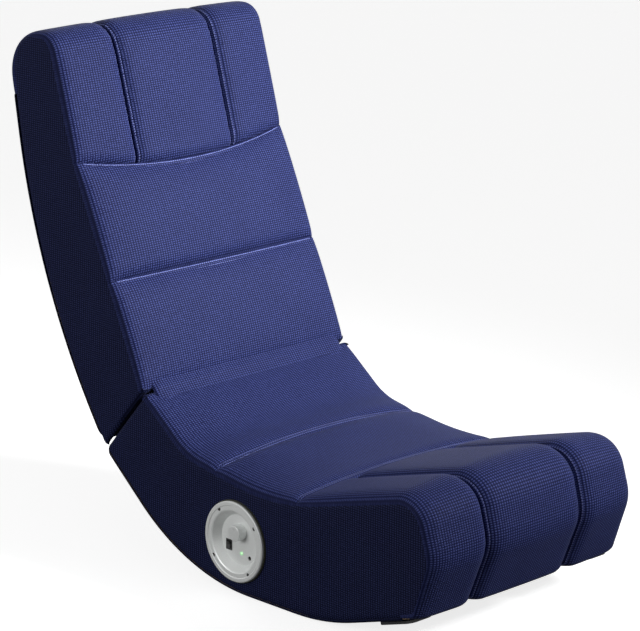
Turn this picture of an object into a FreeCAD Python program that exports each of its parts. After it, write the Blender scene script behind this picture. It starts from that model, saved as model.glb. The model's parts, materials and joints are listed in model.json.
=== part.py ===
import FreeCAD, Part
import math
import os

# A gaming rocker chair that stands on the floor: a curved seat on a rocker bottom, and a back
# that folds forward over it on two hinges. Two speakers sit behind the head cushion and a
# round control panel in the sitter's right side. Sizes are millimetres. X runs to the sitter's
# left, the sitter faces -Y and Z is up. The origin is the middle of the flat that meets the floor.

# Overall, and the thickness of covers, cushions and boards
chair_width = 430.0
cover = 3.0
pad_depth = 12.0
back_pad_depth = 9.7
panel_wood = 18.0
rail_wood = 18.0
hinge_wood = 12.0
board_wood = 12.0
back_wood = 12.0
back_border = 26.0
slat_depth = 50.0
fold_gap = 5.0
fit = 0.3

# Side outline of the seat as (y, z, corner radius), from the crease forward and round
crease = (272.0, 268.0, 4.0)
seat_bend = (182.0, 196.0, 110.0)
seat_dip = (-13.0, 164.0, 420.0)
bolster_top = (-298.0, 240.0, 40.0)
nose = (-326.0, 150.0, 60.0)
toe = (-297.0, 57.0, 12.0)
rocker_front = (-110.0, 0.0, 400.0)
rocker_rear = (185.0, 0.0, 370.0)
rear_foot = (369.5, 158.0, 14.0)

# Side outline of the back, from its side of the crease up and round
head_seam = (421.0, 602.0, 300.0)
head_front = (476.0, 786.0, 34.0)
head_rear = (580.0, 785.0, 60.0)
back_bend = (528.0, 403.0, 1100.0)
back_foot = (373.0, 162.0, 22.0)

# Cushions: where the cross seams lie, and how far seams and panels rise at the middle
lumbar_share = 0.49
seat_seam = (117.0, 186.0)
bolster_seam = (-54.0, 178.0)
segment_seam = 100.0
lumbar_rise = 8.0
head_rise = 10.0
seat_rise = 18.0
bolster_rise = 12.0
back_crown = 13.0
seat_crown = 7.0
seat_dip_depth = 12.0
back_dip_depth = 2.0
segment_crown = 6.0
crown_square = 6
cored_share = 0.8
side_drop = 4.0
roll_clearance = 0.6
roll_heel = (573.0, 688.0, 5.0)
roll_rear = (584.0, 786.0, 68.0)

# Wood under the bolster, and where the base board ends
shelf_top = 85.0
shelf_rear = -57.0
shelf_wood = 24.0
front_wood = 80.0
base_rear = 60.0

# Fold hinges
hinge_x = 120.0
hinge_width = 60.0
pin_radius = 2.0
pin_fit = 0.1
knuckle_radius = 4.0
knuckle_length = 19.0
leaf_depth = 48.0
leaf_thick = 2.0
screw_radius = 2.0
screw_head = 4.0
screw_length = 12.0

# Control panel in the sitter's right side
panel_y = 70.0
panel_z = 84.0
panel_radius = 62.0
panel_lip = 4.0
gasket_depth = 4.0
gasket_radius = 63.5
bowl_radius = 47.0
floor_radius = 39.0
bowl_depth = 14.0
bezel_wall = 2.5
rim_edge = 1.5
rim_width = 6.0
groove_depth = 1.2
bowl_edge = 2.0
box_radius = 45.0
box_depth = 34.0
box_rim_radius = 40.5
box_wall = 2.0
panel_screw_ring = 54.0
panel_screw_turn = 55.0
panel_screw_head = 3.0
panel_screw_head_depth = 1.6
panel_screw_radius = 1.5
knob_y = -3.0
knob_z = 14.0
knob_radius = 12.0
knob_height = 15.0
knob_cap = 4.0
knob_round = 1.2
dot_share = 0.6
dot_radius = 1.0
dot_depth = 0.6
shaft_radius = 3.0
switch_y = 23.0
switch_z = -12.0
switch_width = 10.0
switch_height = 14.0
switch_frame = 1.2
rocker_low = 0.4
rocker_pressed = 1.6
rocker_raised = 2.6
rocker_keel = 2.2
rocker_pivot_depth = 0.6
rocker_pivot_radius = 1.4
led_y = -4.0
led_z = -20.0
led_radius = 2.6
jack_y = -20.5
jack_z = -24.0
jack_radius = 3.4
jack_size = 11.0
jack_wall = 1.5
jack_recess = 6.0
jack_pin = 1.0
control_depth = 12.0
pot_radius = 8.0
amplifier_thick = 1.6

# Speakers behind the head cushion
speaker_x = 125.0
speaker_rise = 105.0
speaker_radius = 38.0
speaker_rim = 5.0
basket_depth = 26.0
basket_wall = 1.5
cone_thick = 0.8
magnet_radius = 22.0
magnet_depth = 10.0
baffle_wood = 6.0
baffle_height = 130.0
baffle_start = 28.0
speaker_screw_head = 2.2
speaker_screw_head_depth = 1.2
speaker_screw_radius = 1.0

# Straps, glides and frame screws
strap_width = 36.0
strap_thick = 2.0
seat_strap_shares = [0.3, 0.7]
back_strap_shares = [0.28, 0.72]
glide_length = 70.0
glide_width = 46.0
glide_thick = 4.0
glide_start = 12.0
glide_round = 12.0
frame_screw_radius = 2.5
frame_screw_head = 4.0
frame_screw_length = 50.0
front_screw_reach = 120.0
rail_screw_depths = [40.0, 80.0]
middle_screw_heights = [45.0, 135.0]
shelf_screw_reaches = [60.0, 170.0]
front_screw_height = 55.0
top_screw_depth = 8.5

# Worked out from the sizes above
half_width = chair_width / 2
cover_face = half_width - cover
panel_inner = cover_face - panel_wood
back_inner = cover_face - back_wood
pad_half = cover_face - 0.5


def at(x, y, z):
    return FreeCAD.Vector(x, y, z)


# The direction of the fold face, down and to the rear, and the way square to it, to the back
fold_down = at(0, rear_foot[0] - crease[0], rear_foot[1] - crease[1]).normalize()
fold_out = at(0, -fold_down.z, fold_down.y)
crease_point = at(0, crease[0], crease[1])
back_crease_point = crease_point + fold_out * fold_gap
back_crease = (back_crease_point.y, back_crease_point.z, crease[2])
hinge_point = crease_point + fold_out * (fold_gap / 2)

seat_corners = [crease, seat_bend, seat_dip, bolster_top, nose, toe, rocker_front, rocker_rear, rear_foot]
back_corners = [back_crease, head_seam, head_front, head_rear, back_bend, back_foot]


# A face in the side plane x = 0 from corners (y, z, radius), each corner rounded by an arc
def outline(corners):
    edges = []
    ends = []
    for i, (y, z, radius) in enumerate(corners):
        corner = at(0, y, z)
        if radius == 0:
            ends.append((corner, None, corner))
            continue
        before = at(0, *corners[i - 1][:2]) - corner
        after = at(0, *corners[(i + 1) % len(corners)][:2]) - corner
        before.normalize()
        after.normalize()
        half = before.getAngle(after) / 2
        reach = radius / math.tan(half)
        inward = (before + after).normalize()
        middle = corner + inward * (radius / math.sin(half) - radius)
        ends.append((corner + before * reach, middle, corner + after * reach))
    for i, (start, middle, end) in enumerate(ends):
        if middle is not None:
            edges.append(Part.Arc(start, middle, end).toShape())
        edges.append(Part.LineSegment(end, ends[(i + 1) % len(ends)][0]).toShape())
    return edges


def face_of(corners):
    return Part.Face(Part.Wire(outline(corners)))


# Twice the area inside the corners, positive when they run anticlockwise seen from +X
def turning(corners):
    pairs = zip(corners, corners[1:] + corners[:1])
    return sum(a[0] * b[1] - b[0] * a[1] for a, b in pairs)


# The corners after each edge has moved inward by its own distance; a sharp corner stays sharp
def inset(corners, distances):
    count = len(corners)
    sense = math.copysign(1, turning(corners))
    lines = []
    for i in range(count):
        start = at(0, *corners[i][:2])
        way = (at(0, *corners[(i + 1) % count][:2]) - start).normalize()
        side = at(0, -way.z, way.y) * sense
        lines.append((start + side * distances[i], way))
    moved = []
    for i in range(count):
        (p, u), (q, v) = lines[i - 1], lines[i]
        across = u.y * v.z - u.z * v.y
        t = ((q.y - p.y) * v.z - (q.z - p.z) * v.y) / across
        spot = p + u * t
        shrink = (distances[i - 1] + distances[i]) / 2
        radius = corners[i][2] - math.copysign(shrink, shrink * across * sense)
        moved.append((spot.y, spot.z, max(radius, 1.0) if corners[i][2] else 0))
    return moved


# A plate with a side outline, between two places across the chair
def plate(face, x_low, x_high):
    slab = face.copy()
    slab.translate(at(x_low, 0, 0))
    return slab.extrude(at(x_high - x_low, 0, 0))


# A box that lies along two directions of the side plane
def bar(start, along, length, across, thick, x_low, x_high):
    near = start + at(x_low, 0, 0)
    far_end = near + along * length
    points = [near, far_end, far_end + across * thick, near + across * thick]
    return Part.Face(Part.makePolygon(points + points[:1])).extrude(at(x_high - x_low, 0, 0))


def rod(start, way, radius, length):
    return Part.makeCylinder(radius, length, start, way)


def mirrored(shape):
    return shape.mirror(at(0, 0, 0), at(1, 0, 0))


def export(name, shape):
    shape.exportStep(f"parts/{name}.step")
    print(f"{name}: {len(shape.Solids)} solid(s), valid {shape.isValid()}, {shape.Volume / 1000:.1f} cm3")


# What is left of each outline inside the cushions and the covers, and the outlines of the covers
seat_insets = [pad_depth] * 5 + [cover] * 4
back_insets = [pad_depth] * 3 + [cover] * 3
seat_core = face_of(inset(seat_corners, seat_insets))
seat_wrap_corners = inset(seat_corners, [pad_depth] * 5 + [0.0] * 4)
seat_side = face_of(inset(seat_corners, [cover] * 5 + [0.0] * 4))
back_core_corners = inset(back_corners, back_insets)
back_core = face_of(back_core_corners)
back_wrap = face_of(inset(back_corners, [pad_depth] * 3 + [0.0] * 3))
back_side = face_of(inset(back_corners, [cover] * 3 + [0.0] * 3))


# The strip of a core along one of its edges
def core_strip(core, corners, distances, edge, thick):
    deeper = list(distances)
    deeper[edge] += thick
    return core.cut(face_of(inset(corners, deeper)))


far = 2000.0


# The part of a face between two heights and two places along Y
def window(face, y_low, y_high, z_low, z_high):
    corners = [at(0, y_low, z_low), at(0, y_high, z_low), at(0, y_high, z_high), at(0, y_low, z_high)]
    return face.common(Part.Face(Part.makePolygon(corners + corners[:1])))


# Seat frame
def seat_frame():
    bolster_room = window(seat_core, -far, shelf_rear, shelf_top, far)
    side = seat_core.cut(bolster_room)
    inner = list(seat_insets)
    for edge in (5, 6, 7):
        inner[edge] += board_wood
    bottom = seat_core.cut(face_of(inset(seat_corners, inner)))
    base = window(bottom, toe[0] + front_wood, base_rear, -far, far)
    rear = core_strip(seat_core, seat_corners, seat_insets, 8, hinge_wood)
    front = window(side, -far, toe[0] + front_wood, -far, shelf_top - shelf_wood)
    shelf = window(side, -far, shelf_rear, shelf_top - shelf_wood, shelf_top)
    middle = window(side, shelf_rear, shelf_rear + rail_wood, -far, far).cut(base)
    boards = {
        "seat_side_panel_left": plate(side, panel_inner, cover_face),
        "seat_front_rail": plate(front, -panel_inner, panel_inner),
        "seat_shelf_board": plate(shelf, -panel_inner, panel_inner),
        "seat_middle_rail": plate(middle, -panel_inner, panel_inner),
        "seat_rear_rail": plate(rear, -panel_inner, panel_inner),
        "seat_base_board": plate(base, -panel_inner, panel_inner),
    }
    boards["seat_side_panel_right"] = mirrored(boards["seat_side_panel_left"])
    return boards


# How far a cushion stands up at a place across it, u from -1 at one side to 1 at the other
def panel_lift(u, rise, crown):
    return rise * (1 - u * u) + crown * math.sqrt(1 - abs(u) ** crown_square)


places_across = [-1.0, -0.96, -0.88, -0.65, -0.33, 0.0, 0.33, 0.65, 0.88, 0.96, 1.0]


# One closed section of a cushion between two seams: a cored underside and a crowned top.
# A seam is its point on the sitting line, its way down into the body and its rise at mid width;
# dip is how far the plain side edge sags below the straight line from seam to seam
def pad_section(x, first, second, crown, dip, depth):
    u = x / pad_half
    shift = at(x, 0, 0)
    (p, p_down, p_rise), (q, q_down, q_rise) = first, second
    chord = (q - p).normalize()
    up = at(0, chord.z, -chord.y)
    up = up * math.copysign(1, -up.dot(p_down + q_down))
    tops = [p - p_down * (panel_lift(u, p_rise, side_drop) - side_drop)]
    tops.append(q - q_down * (panel_lift(u, q_rise, side_drop) - side_drop))
    bottoms = [p + p_down * depth, q + q_down * depth]
    lift = panel_lift(u, (p_rise + q_rise) / 2, crown + dip)
    top = (p + q) * 0.5 + up * (lift - dip)
    bottom = (p + q) * 0.5 + up * (lift * cored_share - dip - depth)
    edges = [
        Part.Arc(bottoms[0] + shift, bottom + shift, bottoms[1] + shift).toShape(),
        Part.LineSegment(bottoms[1] + shift, tops[1] + shift).toShape(),
        Part.Arc(tops[1] + shift, top + shift, tops[0] + shift).toShape(),
        Part.LineSegment(tops[0] + shift, bottoms[0] + shift).toShape(),
    ]
    return Part.Wire(edges)


def pad(first, second, crown, dip, depth):
    wires = [pad_section(u * pad_half, first, second, crown, dip, depth) for u in places_across]
    return Part.makeLoft(wires, True, False)


# The seams that the cushions share
def down_from(start, end):
    way = (at(0, *end[:2]) - at(0, *start[:2])).normalize()
    return at(0, way.z, -way.y)


back_down = down_from(back_crease, head_seam)
lumbar_point = back_crease_point + (at(0, *head_seam[:2]) - back_crease_point) * lumbar_share
seat_down = down_from(seat_dip, seat_bend)
crease_seam = (crease_point, fold_down, 0.0)
back_crease_seam = (back_crease_point, fold_down, 0.0)
lumbar_seam = (lumbar_point, back_down, lumbar_rise)
head_cross_seam = (at(0, *head_seam[:2]), back_down, head_rise)
seat_cross_seam = (at(0, *seat_seam), seat_down, seat_rise)
bolster_cross_seam = (at(0, *bolster_seam), at(0, 0, -1), bolster_rise)


# A roll cushion is three segments side by side; each swells between its own two seams, and
# ways says how each edge of the section moves: out with the swell, or in with the coring
def roll_segment(corners, ways, rise, x_low, x_high):
    wires = []
    for share in places_across:
        x = (x_low + x_high + share * (x_high - x_low)) / 2
        u = x / pad_half
        swell = panel_lift(u, rise, side_drop) - side_drop
        swell += segment_crown * math.sqrt(1 - abs(share) ** crown_square)
        moves = [way * swell if way <= 0 else way * max(swell, 0.0) + roll_clearance for way in ways]
        wire = Part.Wire(outline(inset(corners, moves)))
        wires.append(wire.translated(at(x, 0, 0)))
    return Part.makeLoft(wires, True, False)


def roll(name, corners, ways, rise):
    left = roll_segment(corners, ways, rise, segment_seam, pad_half)
    centre = roll_segment(corners, ways, rise, -segment_seam, segment_seam)
    return {f"{name}_left": left, f"{name}_centre": centre, f"{name}_right": mirrored(left)}


def head_roll():
    core_front, core_rear, core_bend = back_core_corners[2:5]
    share = (core_rear[1] - roll_heel[1]) / (core_rear[1] - core_bend[1])
    heel_inner = (core_rear[0] + (core_bend[0] - core_rear[0]) * share, roll_heel[1], 0)
    start, down, rise = head_cross_seam
    inner = start + down * pad_depth
    corners = [(start.y, start.z, 0), head_front, roll_rear, roll_heel, heel_inner, core_rear, core_front]
    corners.append((inner.y, inner.z, 0))
    ways = [-1, -1, -1, 0, cored_share, cored_share, cored_share, 0]
    return roll("headrest", corners, ways, head_rise)


def bolster_roll():
    wrap_nose, wrap_toe = seat_wrap_corners[4:6]
    share = (wrap_nose[1] - shelf_top) / (wrap_nose[1] - wrap_toe[1])
    shelf_front = wrap_nose[0] + (wrap_toe[0] - wrap_nose[0]) * share
    seam_low = bolster_seam[1] - pad_depth
    corners = [(*bolster_seam, 0), bolster_top, nose, toe, (*wrap_toe[:2], 0), (shelf_front, shelf_top, 0)]
    corners += [(shelf_rear, shelf_top, 0), (shelf_rear, seam_low, 0), (bolster_seam[0], seam_low, 0)]
    ways = [-1, -1, -1, 0, 0, 0, 0, 0, 0]
    return roll("seat_bolster", corners, ways, bolster_rise)


# Back frame
def back_frame():
    hollow_corners = inset(back_corners, [back_border + d for d in back_insets])
    hollow = face_of([(y, z, 0) for y, z, radius in hollow_corners])
    front_way = at(0, -back_down.z, back_down.y)
    slat_start = lumbar_point + back_down * pad_depth - front_way * (back_wood / 2)
    slat = bar(slat_start, back_down, slat_depth, front_way, back_wood, -back_inner, back_inner)
    top = core_strip(back_core, back_corners, back_insets, 2, back_wood)
    bottom = core_strip(back_core, back_corners, back_insets, 5, hinge_wood)
    boards = {
        "back_side_rail_left": plate(back_core.cut(hollow), back_inner, cover_face),
        "back_top_rail": plate(top, -back_inner, back_inner),
        "back_middle_rail": slat,
        "back_bottom_rail": plate(bottom, -back_inner, back_inner),
    }
    boards["back_side_rail_right"] = mirrored(boards["back_side_rail_left"])
    return boards


# Elastic straps under a cushion, from side to side, at shares of the way between its seams
def straps(first, second, dip, shares, x_half):
    (p, p_down, p_rise), (q, q_down, q_rise) = first, second
    along = (q - p).normalize()
    under = (p_down + q_down).normalize()
    pieces = []
    for share in shares:
        sag = dip * 4 * share * (1 - share)
        middle = p + (q - p) * share + under * (pad_depth + sag)
        start = middle - along * (strap_width / 2)
        pieces.append(bar(start, along, strap_width, under, strap_thick, -x_half, x_half))
    return pieces


# The fold hinges. Each leaf lies on its rail; the back's leaf has the middle knuckle
def hinge_places():
    return [-hinge_x, hinge_x]


def leaf(x, out):
    start = hinge_point + out * (fold_gap / 2 + cover - leaf_thick)
    return bar(start, fold_down, leaf_depth, out, leaf_thick, x - hinge_width / 2, x + hinge_width / 2)


def knuckle(x, length, radius):
    start = hinge_point + at(x - length / 2, 0, 0)
    return rod(start, at(1, 0, 0), radius, length)


def hinge_leaves():
    seat_parts, back_parts, pins = [], [], []
    side_length = (hinge_width - knuckle_length) / 2 + fit
    side_place = (knuckle_length + side_length) / 2
    for x in hinge_places():
        pin = knuckle(x, hinge_width, pin_radius)
        middle = knuckle(x, knuckle_length, knuckle_radius)
        room = knuckle(x, knuckle_length + 2 * fit, knuckle_radius + fit)
        outer = knuckle(x, hinge_width, knuckle_radius).cut(room)
        seat_leaf = leaf(x, fold_out * -1).fuse(leaf_web(x, fold_out * -1)).cut(room).fuse(outer)
        back_room = [knuckle(x + side * side_place, side_length, knuckle_radius + fit) for side in (-1, 1)]
        back_leaf = leaf(x, fold_out).fuse(leaf_web(x, fold_out)).cut(group(back_room)).fuse(middle)
        seat_parts.append(seat_leaf.cut(pin).removeSplitter())
        back_parts.append(back_leaf.cut(knuckle(x, hinge_width, pin_radius + pin_fit)).removeSplitter())
        pins.append(pin)
    return seat_parts, back_parts, pins


# The short web that joins a leaf to its knuckles
def leaf_web(x, out):
    low, high = x - hinge_width / 2, x + hinge_width / 2
    return bar(hinge_point, fold_down, knuckle_radius, out, fold_gap / 2 + cover, low, high)


def hinge_screws(out):
    start = hinge_point + out * (fold_gap / 2 + cover - leaf_thick)
    screws = []
    for x in hinge_places():
        for side in (-1, 0, 1):
            depth = leaf_depth * (0.7 if side else 0.4)
            spot = start + at(x + side * hinge_width / 3, 0, 0) + fold_down * depth
            head = rod(spot, out, screw_head, leaf_thick)
            screws.append(head.fuse(rod(spot, out, screw_radius, screw_length)).removeSplitter())
    return screws


# The room that cushions and covers leave round each hinge
def hinge_room():
    rooms = []
    for x in hinge_places():
        low, high = x - hinge_width / 2 - fit, x + hinge_width / 2 + fit
        reach = fold_gap / 2 + cover + fit
        start = hinge_point - fold_out * reach
        rooms.append(bar(start, fold_down, leaf_depth + fit, fold_out, 2 * reach, low, high))
        rooms.append(knuckle(x, hinge_width + 2 * fit, knuckle_radius + fit))
    return rooms


# The control panel. Its axis runs out of the sitter's right side, along -X
panel_middle = at(-half_width, panel_y, panel_z)
outward = at(-1, 0, 0)
panel_front = gasket_depth + panel_lip
floor_out = panel_front - bowl_depth


def on_panel(y, z, out):
    return panel_middle + at(-out, y, z)


# A solid turned about an axis from (radius, distance along the axis) points
def turned(middle, way, side, points):
    spots = [middle + way * along + side * radius for radius, along in points]
    return Part.Face(Part.makePolygon(spots + spots[:1])).revolve(middle, way, 360)


def panel_bezel():
    dish = turned(panel_middle, outward, at(0, 0, 1), [
        (panel_radius, gasket_depth),
        (panel_radius, panel_front - rim_edge),
        (panel_radius - rim_edge, panel_front),
        (panel_radius - rim_width, panel_front),
        (panel_radius - rim_width - groove_depth, panel_front - groove_depth),
        (bowl_radius + bowl_edge, panel_front - groove_depth),
        (bowl_radius, panel_front - groove_depth - bowl_edge / 2),
        (floor_radius, floor_out),
        (0, floor_out),
        (0, floor_out - bezel_wall),
        (floor_radius + bezel_wall, floor_out - bezel_wall),
        (bowl_radius - 0.5, gasket_depth),
    ])
    holes = [rod(on_panel(y, z, floor_out), outward * -1, radius, bezel_wall) for y, z, radius in panel_holes]
    holes.append(switch_block(bezel_wall, 0.0, floor_out - bezel_wall))
    return dish.cut(Part.makeCompound(holes + panel_screws()))


def switch_block(depth, border, out):
    size = at(depth, switch_width + 2 * border, switch_height + 2 * border)
    corner = on_panel(switch_y - size.y / 2, switch_z - size.z / 2, out + depth)
    return Part.makeBox(size.x, size.y, size.z, corner)


panel_holes = [
    (knob_y, knob_z, shaft_radius + fit),
    (led_y, led_z, led_radius),
    (jack_y, jack_z, jack_radius),
]


def panel_gasket():
    ring = rod(panel_middle, outward, gasket_radius, gasket_depth)
    ring = ring.cut(rod(panel_middle, outward, box_radius + box_wall, gasket_depth))
    return ring.cut(Part.makeCompound(panel_screws()))


def panel_screws():
    screws = []
    for i in range(4):
        angle = math.radians(panel_screw_turn + 90 * i)
        y, z = panel_screw_ring * math.cos(angle), panel_screw_ring * math.sin(angle)
        start = on_panel(y, z, panel_front - groove_depth)
        head = rod(start, outward * -1, panel_screw_head, panel_screw_head_depth)
        shank = rod(start, outward * -1, panel_screw_radius, panel_front + cover + panel_wood / 2)
        screws.append(head.fuse(shank).removeSplitter())
    return screws


# The closed cup behind the dish, through the hole in the cover and the side panel
def panel_back_box():
    front = floor_out - bezel_wall
    return turned(panel_middle, outward, at(0, 0, 1), [
        (box_rim_radius, front),
        (box_radius, front),
        (box_radius, front - box_depth),
        (0, front - box_depth),
        (0, front - box_depth + box_wall),
        (box_radius - box_wall, front - box_depth + box_wall),
        (box_radius - box_wall, front - box_wall),
        (box_rim_radius, front - box_wall),
    ])


def panel_opening(depth):
    return rod(panel_middle, at(1, 0, 0), box_radius + fit, depth)


def volume_knob():
    start = on_panel(knob_y, knob_z, floor_out + fit)
    cap = rod(start, outward, knob_radius, knob_height)
    top = min(cap.Edges, key=lambda edge: edge.CenterOfMass.x)
    cap = cap.makeFillet(knob_round, [top])
    socket = rod(start, outward, shaft_radius, knob_height - knob_cap)
    dot = rod(start + at(-knob_height, 0, knob_radius * dot_share), at(1, 0, 0), dot_radius, dot_depth)
    return cap.cut(socket).cut(dot)


def volume_pot():
    start = on_panel(knob_y, knob_z, floor_out - bezel_wall)
    body = rod(start, outward * -1, pot_radius, control_depth)
    shaft = rod(start, outward, shaft_radius - pin_fit, bezel_wall + knob_height - knob_cap - fit)
    return body.fuse(shaft).removeSplitter()


def power_switch():
    back = floor_out - bezel_wall - control_depth
    depth = bezel_wall + control_depth
    frame = switch_block(depth, 0.0, back).fuse(switch_block(1.0, switch_frame, floor_out))
    slot = switch_block(depth, -switch_frame, back + control_depth / 2)
    return frame.cut(slot).removeSplitter()


# The rocker of the switch: two flats in a shallow V, with the round pivot behind
def switch_rocker():
    width = switch_width - 2 * switch_frame - 2 * fit
    half = switch_height / 2 - switch_frame - 2 * fit
    keel = half - switch_frame
    points = [(-half, rocker_pressed), (0, rocker_low), (half, rocker_raised)]
    points += [(keel, -rocker_keel), (-keel, -rocker_keel)]
    spots = [on_panel(switch_y - width / 2, switch_z + z, floor_out + 1.0 + out) for z, out in points]
    rocker = Part.Face(Part.makePolygon(spots + spots[:1])).extrude(at(0, width, 0))
    pivot = rod(on_panel(switch_y - width / 2, switch_z, floor_out - rocker_pivot_depth),
                at(0, 1, 0), rocker_pivot_radius, width)
    return rocker.fuse(pivot).removeSplitter()


def power_led():
    start = on_panel(led_y, led_z, floor_out - bezel_wall - control_depth)
    stem = rod(start, outward, led_radius, bezel_wall + control_depth)
    dome = Part.makeSphere(led_radius, on_panel(led_y, led_z, floor_out))
    return stem.fuse(dome).removeSplitter()


def jack_socket():
    back = floor_out - bezel_wall - control_depth
    corner = on_panel(jack_y - jack_size / 2, jack_z - jack_size / 2, floor_out - bezel_wall)
    block = Part.makeBox(control_depth, jack_size, jack_size, corner)
    bore = rod(on_panel(jack_y, jack_z, back + jack_wall), outward, jack_radius, control_depth)
    pin = rod(on_panel(jack_y, jack_z, back), outward, jack_pin, control_depth - jack_recess)
    return block.cut(bore).fuse(pin).removeSplitter()


def amplifier_board():
    start = on_panel(0, 0, floor_out - bezel_wall - control_depth)
    return rod(start, outward * -1, box_radius - box_wall - 1.0, amplifier_thick)


# Speakers on their baffle board behind the head cushion
head_point = at(0, *head_seam[:2])
head_way = (at(0, *head_front[:2]) - head_point).normalize()
head_in = at(0, head_way.z, -head_way.y)
baffle_rear = head_point + head_in * (pad_depth + baffle_wood)


def speaker_middle(x):
    return baffle_rear + head_way * speaker_rise + at(x, 0, 0)


def baffle_board():
    start = head_point + head_way * baffle_start + head_in * pad_depth
    board = bar(start, head_way, baffle_height, head_in, baffle_wood, -back_inner, back_inner)
    for x in (-speaker_x, speaker_x):
        board = board.cut(rod(speaker_middle(x), head_in * -1, speaker_radius - speaker_rim, baffle_wood))
    return board


def speaker_basket(x):
    mouth = speaker_radius - speaker_rim
    return turned(speaker_middle(x), head_in, at(1, 0, 0), [
        (mouth, 0),
        (speaker_radius, 0),
        (speaker_radius, basket_wall),
        (mouth + basket_wall, basket_wall),
        (magnet_radius, basket_depth),
        (0, basket_depth),
        (0, basket_depth - basket_wall),
        (magnet_radius - basket_wall, basket_depth - basket_wall),
    ])


def speaker_cone(x):
    mouth = speaker_radius - speaker_rim - fit
    neck = magnet_radius / 2
    deep = basket_depth - 3 * basket_wall
    return turned(speaker_middle(x), head_in, at(1, 0, 0), [
        (mouth, 0.0),
        (neck, deep),
        (0, deep),
        (0, deep - cone_thick),
        (neck - cone_thick / 2, deep - cone_thick),
        (mouth - 2 * cone_thick, 0.0),
    ])


def speaker_magnet(x):
    return rod(speaker_middle(x) + head_in * basket_depth, head_in, magnet_radius, magnet_depth)


def speaker_screws():
    screws = []
    ring = speaker_radius - speaker_rim / 2
    for x in (-speaker_x, speaker_x):
        for turn in range(4):
            angle = math.radians(45 + 90 * turn)
            spot = speaker_middle(x) + at(ring * math.cos(angle), 0, 0) + head_way * (ring * math.sin(angle))
            start = spot + head_in * basket_wall
            head = rod(start, head_in, speaker_screw_head, speaker_screw_head_depth)
            shank = rod(start, head_in * -1, speaker_screw_radius, baffle_wood)
            screws.append(head.fuse(shank).removeSplitter())
    return screws


# Sewn covers: flat sides, and the strip that runs under the seat or down the rear of the back
def side_cover(face):
    return plate(face, cover_face, half_width)


def under_cover():
    return plate(face_of(seat_wrap_corners).cut(seat_core), -cover_face, cover_face)


def rear_cover():
    strip = window(back_wrap.cut(back_core), -far, far, -far, roll_heel[1])
    return plate(strip, -cover_face, cover_face)


def front_glide():
    bottom_way = (at(0, *rocker_front[:2]) - at(0, *toe[:2])).normalize()
    down = at(0, bottom_way.z, -bottom_way.y)
    start = at(0, *toe[:2]) + bottom_way * glide_start
    block = bar(start, bottom_way, glide_length, down, glide_thick, cover_face - glide_width, cover_face)
    corners = [edge for edge in block.Edges if abs(edge.Length - glide_thick) < 0.01]
    return block.makeFillet(glide_round, corners)


# Frame screws through both side boards into the ends of the rails
def frame_screws(spots, outer):
    screws = []
    for y, z in spots:
        for side in (-1, 1):
            start = at(side * outer, y, z)
            head = rod(start, at(-side, 0, 0), frame_screw_head, frame_screw_head / 2)
            shank = rod(start, at(-side, 0, 0), frame_screw_radius, frame_screw_length)
            screws.append(head.fuse(shank).removeSplitter())
    return screws


# Each spot lies in the middle of a board's thickness
def seat_screw_spots():
    bottom_way = (at(0, *toe[:2]) - at(0, *rocker_front[:2])).normalize()
    bottom_up = at(0, bottom_way.z, -bottom_way.y)
    front_base = at(0, *rocker_front[:2]) + bottom_way * front_screw_reach
    front_base = front_base + bottom_up * (cover + board_wood / 2)
    rear_rail = crease_point - fold_out * (cover + hinge_wood / 2)
    spots = [front_base, at(0, 0, cover + board_wood / 2)]
    spots += [rear_rail + fold_down * depth for depth in rail_screw_depths]
    spots += [at(0, shelf_rear + rail_wood / 2, height) for height in middle_screw_heights]
    spots += [at(0, shelf_rear - reach, shelf_top - shelf_wood / 2) for reach in shelf_screw_reaches]
    spots.append(at(0, toe[0] + front_wood / 2, front_screw_height))
    return [(spot.y, spot.z) for spot in spots]


def back_screw_spots():
    bottom_rail = back_crease_point + fold_out * (cover + hinge_wood / 2)
    slat = lumbar_point + back_down * (pad_depth + slat_depth / 2)
    top = at(0, (head_front[0] + head_rear[0]) / 2, head_front[1] - pad_depth - top_screw_depth)
    spots = [bottom_rail + fold_down * depth for depth in rail_screw_depths] + [slat, top]
    return [(spot.y, spot.z) for spot in spots]


def group(shapes):
    return Part.makeCompound(shapes)


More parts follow.
